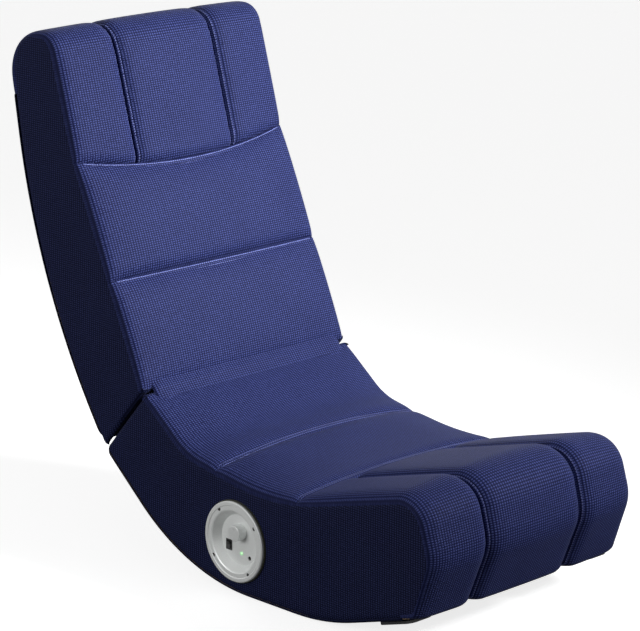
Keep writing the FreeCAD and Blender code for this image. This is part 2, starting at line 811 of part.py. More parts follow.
def main():
    os.makedirs("parts", exist_ok=True)
    seat = seat_frame()
    back = back_frame()
    seat_leaves, back_leaves, pins = hinge_leaves()
    seat_hinge_screws = hinge_screws(fold_out * -1)
    back_hinge_screws = hinge_screws(fold_out)
    seat_frame_screws = frame_screws(seat_screw_spots(), cover_face)
    back_frame_screws = frame_screws(back_screw_spots(), cover_face)
    room = group(hinge_room())

    seat_straps = straps(crease_seam, seat_cross_seam, seat_dip_depth, seat_strap_shares, panel_inner)
    seat_straps += straps(seat_cross_seam, bolster_cross_seam, seat_dip_depth, seat_strap_shares, panel_inner)
    back_straps = straps(back_crease_seam, lumbar_seam, back_dip_depth, back_strap_shares, back_inner)
    back_straps += straps(lumbar_seam, head_cross_seam, back_dip_depth, back_strap_shares, back_inner)

    opening = panel_opening(panel_wood + cover + fit)
    seat_cuts = group(seat_frame_screws + seat_hinge_screws + panel_screws() + [opening])
    back_cuts = group(back_frame_screws + back_hinge_screws)
    seat = {name: shape.cut(seat_cuts) for name, shape in seat.items()}
    back = {name: shape.cut(back_cuts) for name, shape in back.items()}
    seat_solid = group(list(seat.values()) + seat_straps + hinge_room())

    pieces = dict(seat)
    pieces.update(back)
    seat_facts = (seat_crown, seat_dip_depth, pad_depth)
    back_facts = (back_crown, back_dip_depth, back_pad_depth)
    seat_pads = [pad(crease_seam, seat_cross_seam, *seat_facts)]
    seat_pads.append(pad(seat_cross_seam, bolster_cross_seam, *seat_facts))
    back_pads = [pad(back_crease_seam, lumbar_seam, *back_facts)]
    back_pads.append(pad(lumbar_seam, head_cross_seam, *back_facts))
    pieces["seat_pad_rear"] = seat_pads[0].cut(seat_solid)
    pieces["seat_pad_middle"] = seat_pads[1].cut(seat_solid)
    pieces["back_pad_lower"] = back_pads[0].cut(room)
    pieces["back_pad_upper"] = back_pads[1]
    pieces.update(head_roll())
    pieces.update(bolster_roll())
    pieces["seat_straps"] = group(seat_straps)
    pieces["back_straps"] = group(back_straps)
    pieces["seat_under_cover"] = under_cover().cut(room)
    pieces["back_rear_cover"] = rear_cover().cut(room)
    pieces["seat_side_cover_left"] = side_cover(seat_side)
    pieces["seat_side_cover_right"] = mirrored(side_cover(seat_side)).cut(group([opening] + panel_screws()))
    pieces["back_side_cover_left"] = side_cover(back_side)
    pieces["back_side_cover_right"] = mirrored(side_cover(back_side))
    pieces["front_glide_left"] = front_glide()
    pieces["front_glide_right"] = mirrored(front_glide())
    pieces["seat_frame_screws"] = group(seat_frame_screws)
    pieces["back_frame_screws"] = group(back_frame_screws)
    pieces["hinge_seat_leaves"] = group(seat_leaves).cut(group(seat_hinge_screws))
    pieces["hinge_back_leaves"] = group(back_leaves).cut(group(back_hinge_screws))
    pieces["hinge_pins"] = group(pins)
    pieces["hinge_seat_screws"] = group(seat_hinge_screws)
    pieces["hinge_back_screws"] = group(back_hinge_screws)
    pieces["panel_bezel"] = panel_bezel()
    pieces["panel_gasket"] = panel_gasket()
    pieces["panel_back_box"] = panel_back_box()
    pieces["panel_screws"] = group(panel_screws())
    pieces["volume_knob"] = volume_knob()
    pieces["volume_pot"] = volume_pot()
    pieces["power_switch"] = power_switch()
    pieces["switch_rocker"] = switch_rocker()
    pieces["power_led"] = power_led()
    pieces["jack_socket"] = jack_socket()
    pieces["amplifier_board"] = amplifier_board()
    pieces["speaker_baffle"] = baffle_board().cut(group([back["back_top_rail"]] + speaker_screws()))
    for side, x in (("left", speaker_x), ("right", -speaker_x)):
        pieces[f"speaker_basket_{side}"] = speaker_basket(x).cut(group(speaker_screws()))
        pieces[f"speaker_cone_{side}"] = speaker_cone(x)
        pieces[f"speaker_magnet_{side}"] = speaker_magnet(x)
    pieces["speaker_screws"] = group(speaker_screws())
    for name, shape in pieces.items():
        export(name, shape)


main()
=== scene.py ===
import bpy
import json
import math
import numpy as np
from mathutils import Matrix, Vector


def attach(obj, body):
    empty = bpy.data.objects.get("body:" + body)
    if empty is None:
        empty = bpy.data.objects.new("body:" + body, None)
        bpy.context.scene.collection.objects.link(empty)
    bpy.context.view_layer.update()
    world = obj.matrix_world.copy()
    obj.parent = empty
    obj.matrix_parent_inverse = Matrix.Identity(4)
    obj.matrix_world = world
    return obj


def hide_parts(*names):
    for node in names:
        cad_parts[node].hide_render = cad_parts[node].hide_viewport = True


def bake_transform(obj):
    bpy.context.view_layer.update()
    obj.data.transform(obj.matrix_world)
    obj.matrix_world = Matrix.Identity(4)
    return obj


# Gaming rocker chair: the frame comes from the CAD, and the sewn mesh cover is built here.
# X runs to the sitter's left, the sitter faces -Y, Z is up, and everything is in metres.

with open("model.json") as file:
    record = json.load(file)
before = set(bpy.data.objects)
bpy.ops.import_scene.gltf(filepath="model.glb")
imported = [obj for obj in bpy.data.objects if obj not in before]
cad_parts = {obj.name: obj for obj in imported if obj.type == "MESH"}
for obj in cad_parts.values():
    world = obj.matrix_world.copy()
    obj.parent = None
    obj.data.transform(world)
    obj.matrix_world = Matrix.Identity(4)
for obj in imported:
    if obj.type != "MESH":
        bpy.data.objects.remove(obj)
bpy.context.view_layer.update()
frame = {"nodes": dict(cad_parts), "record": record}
print("frame loaded:", len(frame["nodes"]), "nodes")

mm = 0.001

# Side lines of the chair
chair = {
    "halfWidth": 0.2148,       # to the outer side of the cover
    "crease": (272.0, 268.0),  # where the seat and the back meet, as y, z in mm
    "rearFoot": (369.5, 158.0),
    "foldGap": 5.0,
    "seamAcross": 0.100,       # where the seams along the head and the front roll lie
}

crease, rearFoot = np.array(chair["crease"]), np.array(chair["rearFoot"])
foldDown = (rearFoot - crease) / np.linalg.norm(rearFoot - crease)
foldOut = np.array([-foldDown[1], foldDown[0]])
backCrease = crease + foldOut * chair["foldGap"]
hingePoint = crease + foldOut * chair["foldGap"] / 2


def roundedPath(corners):
    # the open line through (y, z, radius) corners in mm, each corner an arc, as points 1 mm apart
    points = [np.array(corners[0][:2], float)]
    for before, here, after in zip(corners[:-2], corners[1:-1], corners[2:]):
        corner = np.array(here[:2], float)
        a = np.array(before[:2], float) - corner
        b = np.array(after[:2], float) - corner
        a /= np.linalg.norm(a)
        b /= np.linalg.norm(b)
        half = math.acos(np.clip(a @ b, -1, 1)) / 2
        reach = here[2] / math.tan(half)
        centre = corner + (a + b) / np.linalg.norm(a + b) * (here[2] / math.sin(half))
        first, last = corner + a * reach - centre, corner + b * reach - centre
        turn = math.atan2(first[0] * last[1] - first[1] * last[0], first @ last)
        angles = np.linspace(0, turn, 24)
        points += [centre + np.array([first[0] * math.cos(t) - first[1] * math.sin(t),
                                      first[0] * math.sin(t) + first[1] * math.cos(t)]) for t in angles]
    points.append(np.array(corners[-1][:2], float))
    line = np.array(points) * mm
    along = np.concatenate([[0], np.cumsum(np.hypot(*np.diff(line, axis=0).T))])
    spots = np.linspace(0, along[-1], int(along[-1] / 0.001) + 1)
    y, z = np.interp(spots, along, line[:, 0]), np.interp(spots, along, line[:, 1])
    ty, tz = np.gradient(y, spots), np.gradient(z, spots)
    kernel = np.ones(9) / 9
    ty = np.convolve(np.pad(ty, 4, "edge"), kernel, "valid")
    tz = np.convolve(np.pad(tz, 4, "edge"), kernel, "valid")
    size = np.hypot(ty, tz)
    return {"s": spots, "y": y, "z": z, "ny": -tz / size, "nz": ty / size, "length": along[-1]}


def nearest(path, y, z):
    # how far along the path its nearest point to (y, z) in mm lies
    return path["s"][np.argmin((path["y"] - y * mm) ** 2 + (path["z"] - z * mm) ** 2)]


def lifted(path, x, s, height):
    # the point at s along the path, moved out by height and across to x
    y = np.interp(s, path["s"], path["y"]) + np.interp(s, path["s"], path["ny"]) * height
    z = np.interp(s, path["s"], path["z"]) + np.interp(s, path["s"], path["nz"]) * height
    return np.stack([x, y, z], -1)


def fall(distance, radius):
    # a quarter circle: 1 at the edge, 0 from one radius inside it
    q = 1 - np.clip(distance / radius, 0, 1)
    return 1 - np.sqrt(np.clip(1 - q * q, 0, 1))


def soft(distance, width):
    # a smooth hollow: 1 at the middle, 0 far from it
    return np.exp(-(distance / width) ** 2)


def crossPlaces(count):
    # places from -1 to 1 that crowd towards both ends
    return np.sin(np.linspace(-math.pi / 2, math.pi / 2, count))


def makeMesh(name, vertices, quads, uv):
    mesh = bpy.data.meshes.new(name)
    mesh.from_pydata(vertices.reshape(-1, 3).tolist(), [], quads.tolist())
    layer = mesh.uv_layers.new(name="Cloth")
    loops = np.zeros(len(mesh.loops), np.int32)
    mesh.loops.foreach_get("vertex_index", loops)
    layer.data.foreach_set("uv", uv.reshape(-1, 2)[loops].astype(np.float32).ravel())
    mesh.polygons.foreach_set("use_smooth", np.ones(len(mesh.polygons), bool))
    mesh.update()
    obj = bpy.data.objects.new(name, mesh)
    bpy.context.scene.collection.objects.link(obj)
    return obj


def shell(name, outer, inner, uv, keep=None):
    # a closed skin between an outer and an inner grid of the same size; keep leaves out quads,
    # and every free edge gets a wall from the outer grid to the inner one
    rows, columns = outer.shape[:2]
    index = np.arange(rows * columns).reshape(rows, columns)
    quads = np.stack([index[:-1, :-1], index[1:, :-1], index[1:, 1:], index[:-1, 1:]], -1)
    quads = quads.reshape(-1, 4) if keep is None else quads[keep]
    edges = np.concatenate([quads[:, [k, (k + 1) % 4]] for k in range(4)])
    total = rows * columns
    codes, back = edges[:, 0] * total + edges[:, 1], edges[:, 1] * total + edges[:, 0]
    free = edges[~np.isin(codes, back)]
    walls = np.stack([free[:, 1], free[:, 0], free[:, 0] + total, free[:, 1] + total], -1)
    faces = np.concatenate([quads, quads[:, ::-1] + total, walls])
    vertices = np.concatenate([outer.reshape(-1, 3), inner.reshape(-1, 3)])
    a, b, c, d = (vertices[faces[:, k]] for k in range(4))
    volume = np.einsum("ij,ij->i", a, np.cross(b, c) + np.cross(c, d)).sum()
    if volume < 0:
        faces = faces[:, ::-1]
    return makeMesh(name, vertices, faces, np.concatenate([uv.reshape(-1, 2)] * 2))


def strip(name, path, sLow, sHigh, xLow, xHigh, height, under, step=0.0035, clothFrom=None):
    # a piece of the cover between two seams: height(x, s, low, high) is how far it stands out of
    # the side line, the seams are functions of the place across, and clothFrom moves the start of
    # the cloth's own coordinate
    across = max(8, int((xHigh - xLow) / step))
    x = (xLow + xHigh) / 2 + (xHigh - xLow) / 2 * crossPlaces(across)
    low, high = sLow(x), sHigh(x)
    count = max(6, int(np.max(high - low) / step))
    t = (crossPlaces(count) + 1) / 2
    s = low[:, None] + (high - low)[:, None] * t[None, :]
    grid = np.broadcast_to(x[:, None], s.shape)
    top = height(grid, s, low[:, None], high[:, None])
    bottom = np.minimum(top - 0.0008, under)
    uv = np.stack([grid, s if clothFrom is None else s - clothFrom(x)[:, None]], -1)
    return shell(name, lifted(path, grid, s, top), lifted(path, grid, s, bottom), uv)


# The sewn cushions
backLine = roundedPath([(*backCrease, 0), (421, 602, 300), (476, 791, 34), (588, 791, 68), (573, 688, 0)])
seatLine = roundedPath([(-270, 48.8, 0), (-297, 57, 12), (-327, 150, 60), (-298, 238, 46), (-13, 164, 420),
                        (182, 196, 110), (*crease, 0)])
backRearLine = roundedPath([(573, 688, 0), (528, 403, 1100), (373, 162, 22), (*backCrease, 0)])
underLine = roundedPath([(*crease, 0), (369.5, 158, 14), (185, 0, 370), (-110, 0, 400), (-270, 48.8, 0)])

half = chair["halfWidth"]
edgeRound = {"drop": 0.006, "radius": 0.012}
seams = {
    "head": {"s": nearest(backLine, 421, 602), "rise": 0.010, "sag": -0.026},
    "lumbar": {"s": nearest(backLine, 346, 428), "rise": 0.008, "sag": -0.002},
    "seat": {"s": nearest(seatLine, 117, 186), "rise": 0.018, "sag": 0.0},
    "bolster": {"s": nearest(seatLine, -54, 178), "rise": 0.012, "sag": 0.0},
}


def seamAt(name):
    # where a cross seam runs: its place at the sides, sagging in a parabola towards mid width
    seam = seams[name]
    return lambda x: seam["s"] + seam["sag"] * (1 - (x / half) ** 2)


def level(value):
    return lambda x: np.full_like(x, value)


def pucker(x, distance, size):
    # small gathers beside a seam: waves across it that die out within a finger's width
    wave = np.sin(x * 470) + 0.6 * np.sin(x * 763 + 1.3) + 0.5 * np.sin(x * 211 + 0.4)
    return size * wave * np.exp(-distance / 0.012)


def padHeight(riseLow, riseHigh, crown, valleyLow, valleyHigh, gather):
    # rises in a straight line from seam to seam, with a dome between them and a hollow at each
    def height(x, s, low, high):
        u = np.abs(x) / half
        t = (s - low) / (high - low)
        out = (riseLow + (riseHigh - riseLow) * t) * (1 - u ** 4)
        out = out + crown * np.sqrt(np.clip(1 - u ** 6, 0, 1)) * (4 * t * (1 - t)) ** 0.7
        fade = 1 - 0.8 * u ** 10
        out = out - valleyLow[0] * fall(s - low, valleyLow[1]) * fade
        out = out - valleyHigh[0] * fall(high - s, valleyHigh[1]) * fade
        out = out + (pucker(x, s - low, gather) + pucker(x + 0.03, high - s, gather)) * fade
        return out - edgeRound["drop"] * fall(half - np.abs(x), edgeRound["radius"])
    return height


cushions = {
    "backPadUpper": dict(path=backLine, low="lumbar", high="head", crown=0.010, body="back",
                         valleyLow=(0.016, 0.020), valleyHigh=(0.008, 0.038), gather=0.0002,
                         cad="back_pad_upper"),
    "backPadLower": dict(path=backLine, low=None, high="lumbar", crown=0.010, body="back",
                         valleyLow=(0.008, 0.020), valleyHigh=(0.008, 0.038), gather=0.0002,
                         cad="back_pad_lower"),
    "seatPadRear": dict(path=seatLine, low="seat", high=None, crown=0.006, body="seat",
                        valleyLow=(0.009, 0.022), valleyHigh=(0.006, 0.030), gather=0.0005,
                        cad="seat_pad_rear"),
    "seatPadMiddle": dict(path=seatLine, low="bolster", high="seat", crown=0.006, body="seat",
                          valleyLow=(0.009, 0.022), valleyHigh=(0.009, 0.022), gather=0.0005,
                          cad="seat_pad_middle"),
}


def makeCushions():
    made = []
    for name, facts in cushions.items():
        path = facts["path"]
        ends = {"low": level(0.0), "high": level(path["length"])}
        rises = {"low": 0.0, "high": 0.0}
        for side in ("low", "high"):
            if facts[side]:
                ends[side] = seamAt(facts[side])
                rises[side] = seams[facts[side]]["rise"]
        height = padHeight(rises["low"], rises["high"], facts["crown"], facts["valleyLow"],
                           facts["valleyHigh"], facts["gather"])
        obj = strip(name, path, ends["low"], ends["high"], -half, half, height, -0.0128)
        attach(obj, facts["body"])
        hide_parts(facts["cad"])
        made.append(obj)
    print("cushions made:", len(made))
    return made


rolls = {
    "headrest": dict(path=backLine, low="head", high=None, rise=0.010, crown=0.007, body="back",
                     seamDepth=0.011, seamWidth=0.022, edgeRadius=0.013,
                     endLow=(0.016, 0.020), endHigh=(0.007, 0.022),
                     turnAt=nearest(backLine, 466, 750), flatter=0.8, lowFade=0.001),
    "seatBolster": dict(path=seatLine, low=None, high="bolster", rise=0.012, crown=0.008, body="seat",
                        seamDepth=0.014, seamWidth=0.026, edgeRadius=0.030,
                        endLow=(0.001, 0.012), endHigh=(0.009, 0.030),
                        turnAt=1.0, flatter=0.0, lowFade=0.20),
}


def rollHeight(facts, xLow, xHigh):
    # each segment swells between its own two seams on top of the rise of the whole roll
    def height(x, s, low, high):
        u = np.abs(x) / half
        share = np.abs((x - (xLow + xHigh) / 2) / ((xHigh - xLow) / 2))
        ends = (4 * (s - low) * (high - s) / (high - low) ** 2) ** 0.3
        fullness = 1 - facts["flatter"] * np.clip((s - facts["turnAt"]) / 0.08, 0, 1)
        fullness = fullness * (0.08 + 0.92 * np.clip((s - low) / facts["lowFade"], 0, 1))
        swell = facts["crown"] * np.sqrt(np.clip(1 - share ** 4, 0, 1)) * ends
        out = (facts["rise"] * (1 - u ** 2) + swell) * fullness
        fade = 1 - 0.8 * u ** 10
        out = out - facts["endLow"][0] * fall(s - low, facts["endLow"][1]) * fade
        out = out - facts["endHigh"][0] * fall(high - s, facts["endHigh"][1]) * fade
        for edge in (xLow, xHigh):
            if abs(edge) < half - 0.001:
                out = out - facts["seamDepth"] * fall(np.abs(x - edge), facts["seamWidth"])
                out = out + pucker(s, np.abs(x - edge), 0.0002)
            else:
                out = out - edgeRound["drop"] * fall(np.abs(x - edge), facts["edgeRadius"])
        return out + pucker(x, high - s, 0.0003) * fade
    return height


def makeRolls():
    made = []
    cross = chair["seamAcross"]
    places = {"right": (-half, -cross), "centre": (-cross, cross), "left": (cross, half)}
    cadNames = {"headrest": "headrest_", "seatBolster": "seat_bolster_"}
    for name, facts in rolls.items():
        path = facts["path"]
        low = seamAt(facts["low"]) if facts["low"] else level(0.0)
        high = seamAt(facts["high"]) if facts["high"] else level(path["length"])
        for side, (xLow, xHigh) in places.items():
            obj = strip(f"{name}{side.capitalize()}", path, low, high, xLow, xHigh,
                        rollHeight(facts, xLow, xHigh), -0.0128)
            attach(obj, facts["body"])
            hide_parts(cadNames[name] + side)
            made.append(obj)
    print("rolls made:", len(made))
    return made


# Covers at the sides, rear and below
def coverHeight(x, s, low, high):
    # flat, turned down round both side edges and at both ends
    out = -0.005 * fall(half - np.abs(x), 0.008)
    return out - 0.002 * fall(s - low, 0.006) - 0.002 * fall(high - s, 0.006)


def makeStripCovers():
    rear = strip("backRearCover", backRearLine, level(0.0), level(backRearLine["length"]), -half, half,
                 coverHeight, -0.0028)
    under = strip("seatUnderCover", underLine, level(0.0), level(underLine["length"]), -half, half,
                  coverHeight, -0.0028)
    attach(rear, "back")
    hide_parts("back_rear_cover")
    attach(under, "seat")
    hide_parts("seat_under_cover")
    return rear, under


sideCover = {"bulge": 0.0012, "round": 0.014, "depth": 0.006, "inset": 0.003, "top": 0.7835}


def sideGrid(frontLine, rearLine, count, width):
    # points between a front line and a rear line of the side, taken at equal shares of each
    t = (crossPlaces(count) + 1) / 2
    q = (crossPlaces(width) + 1) / 2
    front = np.stack([np.interp(t * frontLine["length"], frontLine["s"], frontLine[k]) for k in "yz"], -1)
    rear = np.stack([np.interp(t * rearLine["length"], rearLine["s"], rearLine[k]) for k in "yz"], -1)
    grid = front[:, None] * (1 - q[None, :, None]) + rear[:, None] * q[None, :, None]
    gap = np.linalg.norm(rear - front, axis=1)[:, None]
    toLong = np.minimum(q[None, :], 1 - q[None, :]) * gap
    middle = (front + rear) / 2
    along = np.concatenate([[0], np.cumsum(np.linalg.norm(np.diff(middle, axis=0), axis=1))])
    toEnd = np.minimum(along, along[-1] - along)[:, None] * np.ones_like(toLong)
    return grid, toLong, toEnd


def insetLine(line, distance):
    return {"s": line["s"], "length": line["length"],
            "y": line["y"] - line["ny"] * distance, "z": line["z"] - line["nz"] * distance}


def makeSideCover(name, side, frontLine, rearLine, hole=None):
    # a flat panel whose border turns in to meet the strips, with a faint swell at its middle
    inset = sideCover["inset"]
    grid, toLong, toEnd = sideGrid(insetLine(frontLine, inset), insetLine(rearLine, inset), 150, 70)
    swell = sideCover["bulge"] * (1 - fall(toLong, 0.06)) * (1 - fall(toEnd, 0.06))
    out = half + swell - sideCover["depth"] * fall(toLong, sideCover["round"])
    out = out - sideCover["depth"] * fall(toEnd, sideCover["round"] * 0.5)
    x = side * out
    # the top end stays under the head roll
    grid[..., 1] = np.minimum(grid[..., 1], sideCover["top"])
    outer = np.stack([x, grid[..., 0], grid[..., 1]], -1)
    inner = outer.copy()
    inner[..., 0] = side * np.minimum(0.2130, out - 0.0008)
    keep = None
    if hole:
        away = np.hypot(grid[..., 0] - hole[0], grid[..., 1] - hole[1])
        near = away < hole[2]
        keep = ~(near[:-1, :-1] | near[1:, :-1] | near[1:, 1:] | near[:-1, 1:])
    return shell(name, outer, inner, grid, keep)


def makeSideCovers():
    made = []
    backFront = roundedPath([(*backCrease, 0), (421, 602, 300), (476, 790, 34), (530, 790, 0)])
    backRear = roundedPath([(373, 162, 0), (528, 403, 1100), (586, 790, 60), (530, 790, 0)])
    seatFront = roundedPath([(*crease, 0), (182, 196, 110), (-13, 164, 420), (-298, 240, 40), (-326, 150, 60),
                             (-311, 100, 0)])
    seatRear = roundedPath([(369.5, 158, 0), (185, 0, 370), (-110, 0, 400), (-297, 57, 12), (-311, 100, 0)])
    for line, sense in ((backRear, -1), (seatFront, -1)):
        line["ny"], line["nz"] = line["ny"] * sense, line["nz"] * sense
    for side, word in ((-1, "Right"), (1, "Left")):
        back = makeSideCover(f"backSideCover{word}", side, backFront, backRear)
        hole = (0.070, 0.084, 0.050) if side < 0 else None
        seat = makeSideCover(f"seatSideCover{word}", side, seatFront, seatRear, hole)
        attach(back, "back")
        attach(seat, "seat")
        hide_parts(f"back_side_cover_{word.lower()}")
        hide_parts(f"seat_side_cover_{word.lower()}")
        made += [back, seat]
    print("side covers made:", len(made))
    return made


# Welts with their stitch rows
welt = {"width": 0.012, "depth": 0.0020}


def makeWelt(name, path, seam, shift, body, lift=0.0):
    # a narrow flat strip that lies in the hollow of a cross seam
    facts = seams[seam]
    centre = seamAt(seam)

    def height(x, s, low, high):
        u = np.abs(x) / half
        out = facts["rise"] * (1 - u ** 2) - welt["depth"] + lift
        out = out + 0.0012 * (1 - fall(np.minimum(s - low, high - s), 0.003))
        return out - 0.006 * fall(half - 0.006 - np.abs(x), 0.014)
    reach = welt["width"] / 2
    obj = strip(name, path, lambda x: centre(x) + shift - reach, lambda x: centre(x) + shift + reach,
                -half + 0.006, half - 0.006, height, -0.0100, 0.0015, lambda x: centre(x) + shift)
    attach(obj, body)
    return obj


def makeFlap():
    # the fabric that crosses the fold line from the seat up to the back
    apex = hingePoint + np.array([-0.77, 0.64]) * 6.5
    line = roundedPath([(*(crease + (-18.0, -11.0)), 0), (*apex, 5), (*(crease + (13.0, 23.0)), 0)])

    def height(x, s, low, high):
        out = 0.0008 * soft(s - (low + high) / 2, 0.004)
        return out - 0.006 * fall(half - 0.018 - np.abs(x), 0.020)
    obj = strip("foldFlap", line, level(0.0), level(line["length"]), -half + 0.018, half - 0.018, height,
                -0.0010, 0.0015)
    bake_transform(obj)
    return obj


def makeWelts():
    made = [makeWelt("headWelt", backLine, "head", -0.004, "back"),
            makeWelt("lumbarWelt", backLine, "lumbar", -0.004, "back"),
            makeWelt("seatWelt", seatLine, "seat", 0.0, "seat", 0.0020),
            makeWelt("bolsterWelt", seatLine, "bolster", 0.0, "seat", 0.0020)]
    made.append(makeFlap())
    print("welts made:", len(made))
    return made


# Materials
def newMaterial(name):
    material = bpy.data.materials.new(name)
    material.use_nodes = True
    nodes, links = material.node_tree.nodes, material.node_tree.links
    return material, nodes, links, nodes["Principled BSDF"]


def mathNode(nodes, links, operation, first, second=None, clamp=False):
    node = nodes.new("ShaderNodeMath")
    node.operation = operation
    node.use_clamp = clamp
    for slot, value in ((0, first), (1, second)):
        if value is None:
            continue
        if isinstance(value, (int, float)):
            node.inputs[slot].default_value = value
        else:
            links.new(value, node.inputs[slot])
    return node.outputs[0]


def weaveGroup():
    # open knitted mesh: raised dots in rows and columns on a dark ground, as the product of two
    # cosines of the cloth's own coordinates lifted to run from 0 to 1, blurred by a little noise
    group = bpy.data.node_groups.new("openMesh", "ShaderNodeTree")
    group.interface.new_socket("Cloth", in_out="INPUT", socket_type="NodeSocketVector")
    group.interface.new_socket("Pitch", in_out="INPUT", socket_type="NodeSocketFloat")
    group.interface.new_socket("Thread", in_out="OUTPUT", socket_type="NodeSocketFloat")
    group.interface.new_socket("Blotch", in_out="OUTPUT", socket_type="NodeSocketFloat")
    nodes, links = group.nodes, group.links
    ins, outs = nodes.new("NodeGroupInput"), nodes.new("NodeGroupOutput")
    split = nodes.new("ShaderNodeSeparateXYZ")
    noise = nodes.new("ShaderNodeTexNoise")
    noise.inputs["Scale"].default_value = 160
    noise.inputs["Detail"].default_value = 2
    links.new(ins.outputs["Cloth"], noise.inputs["Vector"])
    links.new(ins.outputs["Cloth"], split.inputs[0])
    waves = []
    for axis, stretch in ((0, 1.0), (1, 0.74)):
        turns = mathNode(nodes, links, "DIVIDE", split.outputs[axis], ins.outputs["Pitch"])
        angle = mathNode(nodes, links, "MULTIPLY", turns, 2 * math.pi / stretch)
        waves.append(mathNode(nodes, links, "COSINE", angle))
    for place, wave in enumerate(waves):
        waves[place] = mathNode(nodes, links, "MULTIPLY_ADD", wave, 0.5)
        waves[place].node.inputs[2].default_value = 0.5
    shifted = mathNode(nodes, links, "MULTIPLY", waves[0], waves[1])
    grainy = mathNode(nodes, links, "MULTIPLY_ADD", noise.outputs["Fac"], 0.35)
    grainy.node.inputs[2].default_value = -0.175
    thread = mathNode(nodes, links, "ADD", shifted, grainy, True)
    blotch = nodes.new("ShaderNodeTexNoise")
    blotch.inputs["Scale"].default_value = 14
    blotch.inputs["Detail"].default_value = 3
    links.new(ins.outputs["Cloth"], blotch.inputs["Vector"])
    links.new(thread, outs.inputs["Thread"])
    links.new(blotch.outputs["Fac"], outs.inputs["Blotch"])
    return group


meshFabric = {
    "hole": (0.008, 0.011, 0.050, 1),
    "thread": (0.057, 0.074, 0.235, 1),
    "pitch": 0.0046,
    "roughness": 0.62,
    "bump": 0.55,
}


def clothCoordinate(nodes):
    node = nodes.new("ShaderNodeUVMap")
    node.uv_map = "Cloth"
    return node.outputs[0]


stitches = {"halfThick": 0.0007, "share": 0.68, "pitch": 0.0042, "thread": (0.16, 0.19, 0.46, 1)}


def stitchGroup():
    # short dashes along one row: a thin band across it times a square wave along it
    group = bpy.data.node_groups.new("stitchRow", "ShaderNodeTree")
    for name in ("Across", "Along", "Row", "Pitch"):
        group.interface.new_socket(name, in_out="INPUT", socket_type="NodeSocketFloat")
    group.interface.new_socket("Mask", in_out="OUTPUT", socket_type="NodeSocketFloat")
    nodes, links = group.nodes, group.links
    ins, outs = nodes.new("NodeGroupInput").outputs, nodes.new("NodeGroupOutput")
    offset = mathNode(nodes, links, "SUBTRACT", ins["Across"], ins["Row"])
    away = mathNode(nodes, links, "ABSOLUTE", offset)
    near = mathNode(nodes, links, "LESS_THAN", away, stitches["halfThick"])
    phase = mathNode(nodes, links, "FRACT", mathNode(nodes, links, "DIVIDE", ins["Along"], ins["Pitch"]))
    dash = mathNode(nodes, links, "LESS_THAN", phase, stitches["share"])
    links.new(mathNode(nodes, links, "MULTIPLY", near, dash), outs.inputs["Mask"])
    return group


def stitchMask(nodes, links, group, across, along, rows):
    # the rows of one material, each a group node, joined by the larger of the two
    total = None
    for row in rows:
        node = nodes.new("ShaderNodeGroup")
        node.node_tree = group
        node.inputs["Row"].default_value = row
        node.inputs["Pitch"].default_value = stitches["pitch"]
        links.new(across, node.inputs["Across"])
        links.new(along, node.inputs["Along"])
        mask = node.outputs["Mask"]
        total = mask if total is None else mathNode(nodes, links, "MAXIMUM", total, mask)
    return total


def fabricMaterial(name, group, stitching=None, rows=None, rowAxis=0, paintedShade=1.0):
    material, nodes, links, shader = newMaterial(name)
    cloth = clothCoordinate(nodes)
    weave = nodes.new("ShaderNodeGroup")
    weave.node_tree = group
    weave.inputs["Pitch"].default_value = meshFabric["pitch"]
    links.new(cloth, weave.inputs["Cloth"])
    ramp = nodes.new("ShaderNodeValToRGB")
    ramp.color_ramp.elements[0].position = 0.05
    # paintedShade scales both mesh colours down. It makes a darker copy of the same cloth, painted shade for
    # faces that the key lamp leaves dark.
    ramp.color_ramp.elements[0].color = [c * paintedShade for c in meshFabric["hole"][:3]] + [1]
    ramp.color_ramp.elements[1].position = 0.70
    ramp.color_ramp.elements[1].color = [c * paintedShade for c in meshFabric["thread"][:3]] + [1]
    links.new(weave.outputs["Thread"], ramp.inputs[0])
    tone = nodes.new("ShaderNodeMix")
    tone.data_type = "RGBA"
    tone.blend_type = "MULTIPLY"
    tone.inputs["Factor"].default_value = 0.35
    grey = nodes.new("ShaderNodeValToRGB")
    grey.color_ramp.elements[0].position = 0.3
    grey.color_ramp.elements[0].color = (0.7, 0.7, 0.72, 1)
    grey.color_ramp.elements[1].position = 0.7
    grey.color_ramp.elements[1].color = (1, 1, 1, 1)
    links.new(weave.outputs["Blotch"], grey.inputs[0])
    links.new(ramp.outputs[0], tone.inputs[6])
    links.new(grey.outputs[0], tone.inputs[7])
    colour, bumpHeight = tone.outputs[2], weave.outputs["Thread"]
    if rows:
        split = nodes.new("ShaderNodeSeparateXYZ")
        links.new(cloth, split.inputs[0])
        mask = stitchMask(nodes, links, stitching, split.outputs[rowAxis], split.outputs[1 - rowAxis], rows)
        sewn = nodes.new("ShaderNodeMix")
        sewn.data_type = "RGBA"
        links.new(mask, sewn.inputs["Factor"])
        links.new(colour, sewn.inputs[6])
        sewn.inputs[7].default_value = stitches["thread"]
        colour = sewn.outputs[2]
        bumpHeight = mathNode(nodes, links, "MULTIPLY_ADD", mask, 1.6)
        links.new(weave.outputs["Thread"], bumpHeight.node.inputs[2])
    links.new(colour, shader.inputs["Base Color"])
    bump = nodes.new("ShaderNodeBump")
    bump.inputs["Strength"].default_value = meshFabric["bump"]
    bump.inputs["Distance"].default_value = 0.0007
    links.new(bumpHeight, bump.inputs["Height"])
    links.new(bump.outputs[0], shader.inputs["Normal"])
    shader.inputs["Roughness"].default_value = meshFabric["roughness"]
    shader.inputs["Specular IOR Level"].default_value = 0.06
    shader.inputs["Sheen Weight"].default_value = 0.02
    shader.inputs["Sheen Roughness"].default_value = 0.4
    return material


